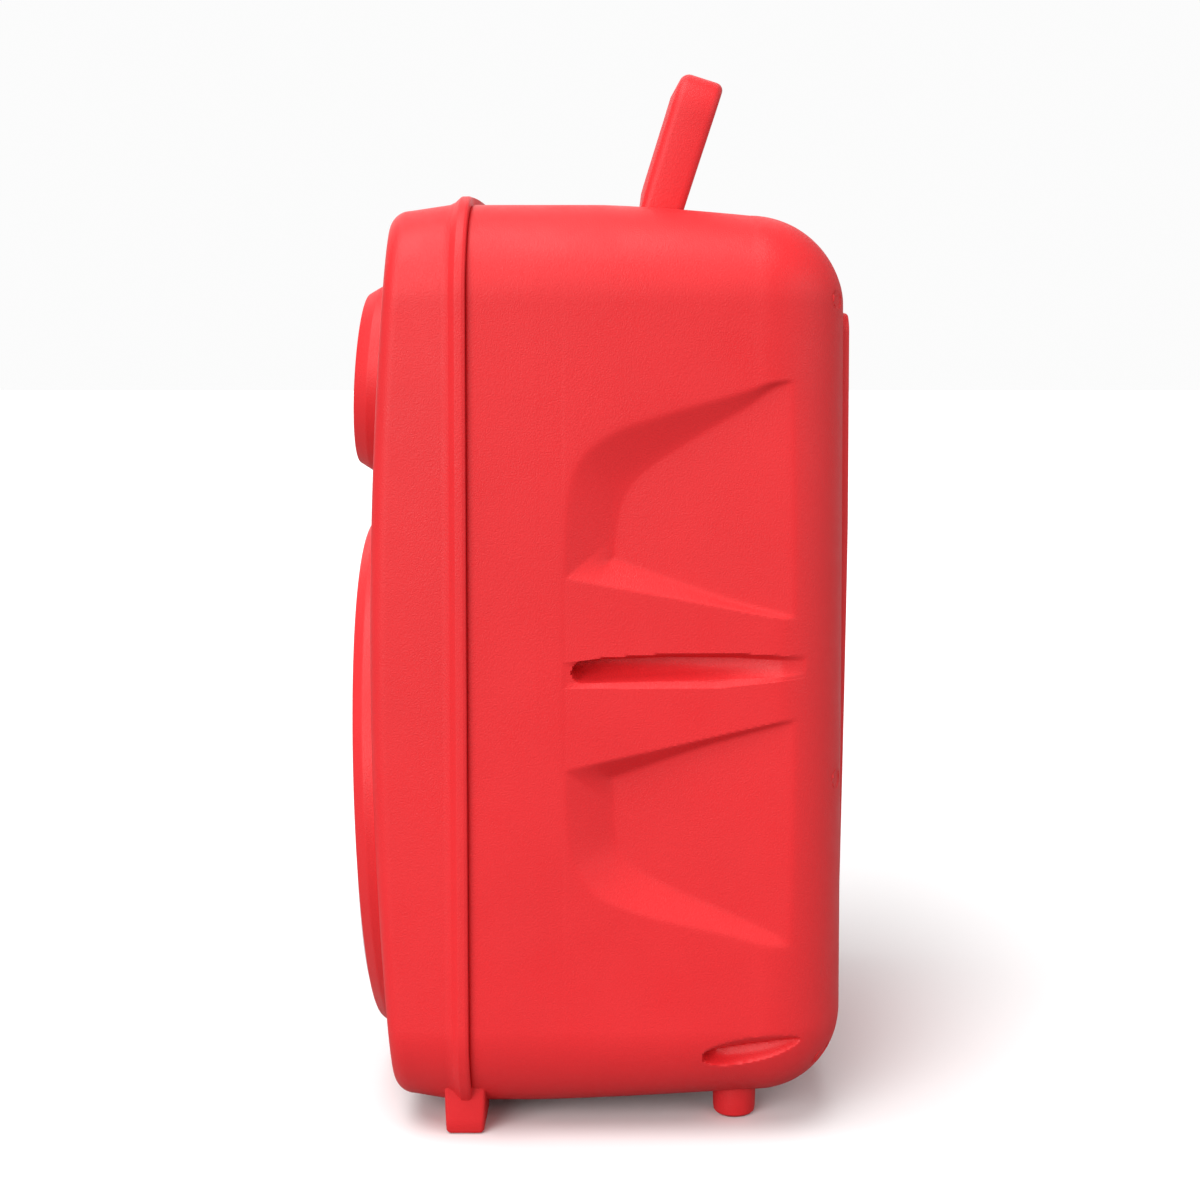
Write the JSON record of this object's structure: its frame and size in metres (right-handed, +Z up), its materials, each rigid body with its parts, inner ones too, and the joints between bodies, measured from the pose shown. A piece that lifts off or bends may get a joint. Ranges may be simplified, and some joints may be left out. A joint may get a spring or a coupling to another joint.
{
  "type": "party speaker",
  "caption": "Portable party speaker: moulded two-part cabinet with woofer, horn tweeter, rear control panel and fold-down carrying handle.",
  "frame": {"origin": "on the floor, under the middle of the object's box", "axes": "+Z up, the front with the drivers faces -Y, +X across to the side with the sculpted flank"},
  "size_m": [0.256, 0.206, 0.4227],
  "materials": {
    "red_shell": "fine moulded satin grain",
    "foam_gasket": "closed-cell foam",
    "screw_steel": "black zinc",
    "led_diffuser": "milky translucent",
    "grille_metal": "powder-coated perforated steel",
    "basket_steel": "black lacquer",
    "surround_rubber": "satin rubber",
    "cone_paper": "pressed paper fibre",
    "coil_copper": "enamelled copper",
    "spider_cloth": "phenolic cloth",
    "zinc_plate": "zinc plated",
    "ferrite": "sintered",
    "black_plastic": "fine texture",
    "dome_film": "film",
    "window_smoke": "smoked acrylic",
    "display_dark": "potting",
    "knob_plastic": "satin, fluted",
    "shaft_metal": "turned",
    "pot_metal": "stamped",
    "button_rubber": "matt",
    "rocker_plastic": "semi-gloss",
    "socket_metal": "nickel",
    "lamp_lens": "diffused lens",
    "circuit_board": "solder mask",
    "heat_sink": "extruded",
    "battery_wrap": "shrink wrap",
    "bracket_steel": "zinc plated"
  },
  "bodies": {
    "cabinet": {"front_shell": "red_shell", "rear_shell": "red_shell", "woofer_ring": "red_shell", "tweeter_ring": "red_shell", "front_feet": "red_shell", "rear_feet": "red_shell", "shell_gasket": "foam_gasket", "case_screws": "screw_steel", "woofer_screws": "screw_steel", "tweeter_screws": "screw_steel", "panel_screws": "screw_steel", "led_ring": "led_diffuser", "woofer_grille": "grille_metal", "tweeter_grille": "grille_metal", "woofer_basket": "basket_steel", "woofer_surround": "surround_rubber", "woofer_spider": "spider_cloth", "woofer_top_plate": "zinc_plate", "woofer_pole": "zinc_plate", "handle_pins": "zinc_plate", "woofer_magnet": "ferrite", "tweeter_magnet": "ferrite", "tweeter_horn": "black_plastic", "rear_panel": "black_plastic", "button_switches": "black_plastic", "rocker_bezel": "black_plastic", "aux_jack": "black_plastic", "microphone_jack": "black_plastic", "charging_inlet": "black_plastic", "tweeter_dome": "dome_film", "display_window": "window_smoke", "display_module": "display_dark", "potentiometers": "pot_metal", "usb_socket": "socket_metal", "card_socket": "socket_metal", "microphone_nut": "socket_metal", "charging_lamp": "lamp_lens", "control_board": "circuit_board", "heat_sink": "heat_sink", "battery_pack": "battery_wrap", "battery_bracket": "bracket_steel"},
    "handle": {"handle": "red_shell"},
    "woofer_cone_assembly": {"woofer_cone": "cone_paper", "dust_cap": "cone_paper", "voice_coil": "coil_copper"},
    "power_rocker": {"power_rocker": "rocker_plastic"},
    "volume_control": {"volume_knob": "knob_plastic", "volume_shaft": "shaft_metal"},
    "microphone_control": {"microphone_knob": "knob_plastic", "microphone_shaft": "shaft_metal"},
    "echo_control": {"echo_knob": "knob_plastic", "echo_shaft": "shaft_metal"},
    "bass_control": {"bass_knob": "knob_plastic", "bass_shaft": "shaft_metal"},
    "treble_control": {"treble_knob": "knob_plastic", "treble_shaft": "shaft_metal"},
    "mode_button": {"mode_button": "button_rubber"},
    "previous_button": {"previous_button": "button_rubber"},
    "play_button": {"play_button": "button_rubber"},
    "next_button": {"next_button": "button_rubber"}
  },
  "joints": [
    {"name": "handle_fold", "type": "hinge", "parent": "cabinet", "child": "handle", "pos_m": [0, 0.0255, 0.358], "axis": [1, 0, 0], "range_deg": [0, 107]},
    {"name": "volume_turn", "type": "hinge", "parent": "cabinet", "child": "volume_control", "pos_m": [0, 0.09, 0.232], "axis": [0, 1, 0], "range_deg": [-150, 150]},
    {"name": "microphone_turn", "type": "hinge", "parent": "cabinet", "child": "microphone_control", "pos_m": [-0.062, 0.09, 0.206], "axis": [0, 1, 0], "range_deg": [-150, 150]},
    {"name": "echo_turn", "type": "hinge", "parent": "cabinet", "child": "echo_control", "pos_m": [-0.031, 0.09, 0.206], "axis": [0, 1, 0], "range_deg": [-150, 150]},
    {"name": "bass_turn", "type": "hinge", "parent": "cabinet", "child": "bass_control", "pos_m": [0.031, 0.09, 0.206], "axis": [0, 1, 0], "range_deg": [-150, 150]},
    {"name": "treble_turn", "type": "hinge", "parent": "cabinet", "child": "treble_control", "pos_m": [0.062, 0.09, 0.206], "axis": [0, 1, 0], "range_deg": [-150, 150]},
    {"name": "mode_press", "type": "slide", "parent": "cabinet", "child": "mode_button", "axis": [0, -1, 0], "range_m": [0, 0.0008], "stiffness_N_per_m": 1500, "springref_m": -0.0005},
    {"name": "previous_press", "type": "slide", "parent": "cabinet", "child": "previous_button", "axis": [0, -1, 0], "range_m": [0, 0.0008], "stiffness_N_per_m": 1500, "springref_m": -0.0005},
    {"name": "play_press", "type": "slide", "parent": "cabinet", "child": "play_button", "axis": [0, -1, 0], "range_m": [0, 0.0008], "stiffness_N_per_m": 1500, "springref_m": -0.0005},
    {"name": "next_press", "type": "slide", "parent": "cabinet", "child": "next_button", "axis": [0, -1, 0], "range_m": [0, 0.0008], "stiffness_N_per_m": 1500, "springref_m": -0.0005},
    {"name": "power_rock", "type": "hinge", "parent": "cabinet", "child": "power_rocker", "pos_m": [-0.067, 0.089, 0.176], "axis": [1, 0, 0], "range_deg": [-20, 0]},
    {"name": "cone_travel", "type": "slide", "parent": "cabinet", "child": "woofer_cone_assembly", "axis": [0, -1, 0], "range_m": [-0.004, 0.004], "stiffness_N_per_m": 1400, "deforming": ["woofer_surround", "woofer_spider"]}
  ]
}
